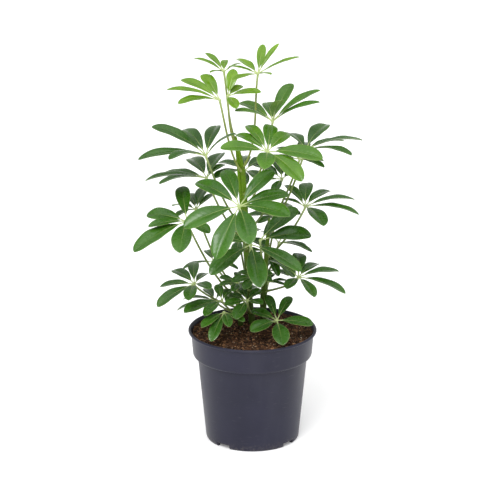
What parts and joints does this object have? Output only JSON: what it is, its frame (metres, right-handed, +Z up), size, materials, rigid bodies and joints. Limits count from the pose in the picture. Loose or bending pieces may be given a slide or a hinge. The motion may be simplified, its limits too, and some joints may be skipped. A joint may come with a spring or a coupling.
{
  "type": "potted umbrella plant",
  "caption": "Umbrella plant in a round dark nursery pot: slender stems with whorled leaves of rounded leaflets, spread over the pot and denser at the foot.",
  "frame": {"origin": "middle of the pot's flat underside, which rests on the ground plane", "axes": "+Z up, the plant's height; -Y to the front of the plant as it is usually shown, +X to its right, +Y to its back"},
  "size_m": [0.2966, 0.2891, 0.5324],
  "materials": {
    "dark_plastic": "smooth dark bluish grey plastic, slightly satin",
    "potting_soil": "loose dark brown potting soil with fibres and pale grains",
    "green_stem": "smooth green bark, browner towards the soil, with leaf scars",
    "young_leaf": "glossy bright yellow-green leaf",
    "grown_leaf": "glossy dark green leaf with a pale midrib"
  },
  "bodies": {
    "root": {"pot": "dark_plastic", "soil": "potting_soil", "stem_main": "green_stem", "stem_right": "green_stem", "stem_left": "green_stem", "leaf_01_crown_right": "young_leaf", "leaf_02_crown_back": "young_leaf", "leaf_03_crown_left": "young_leaf", "leaf_04_crown_middle": "young_leaf", "leaf_05_upper_back": "young_leaf", "leaf_06_upper_front": "young_leaf", "leaf_07_upper_left": "grown_leaf", "leaf_08_upper_right": "grown_leaf", "leaf_09_right_behind": "grown_leaf", "leaf_10_left_behind": "grown_leaf", "leaf_11_back_right": "grown_leaf", "leaf_12_front": "grown_leaf", "leaf_13_far_left": "grown_leaf", "leaf_14_far_right": "grown_leaf", "leaf_15_right_middle": "grown_leaf", "leaf_16_low_front": "grown_leaf", "leaf_17_low_left": "grown_leaf", "leaf_18_low_left_behind": "grown_leaf", "leaf_19_low_right": "grown_leaf", "leaf_20_base_left": "grown_leaf", "leaf_21_base_front_left": "grown_leaf", "leaf_22_base_front": "grown_leaf", "leaf_23_base_right": "grown_leaf", "leaf_24_base_back_left": "grown_leaf", "leaf_25_back_top": "grown_leaf", "leaf_26_back_left": "grown_leaf", "leaf_27_back_right": "grown_leaf", "leaf_28_back_low": "grown_leaf", "leaf_29_base_back_right": "grown_leaf", "leaf_30_low_middle": "grown_leaf", "leaf_31_inner_left": "grown_leaf", "leaf_32_inner_right": "grown_leaf", "leaf_33_base_back": "grown_leaf", "leaf_34_back_middle": "grown_leaf", "leaf_35_inner_back_right": "grown_leaf"}
  },
  "joints": []
}
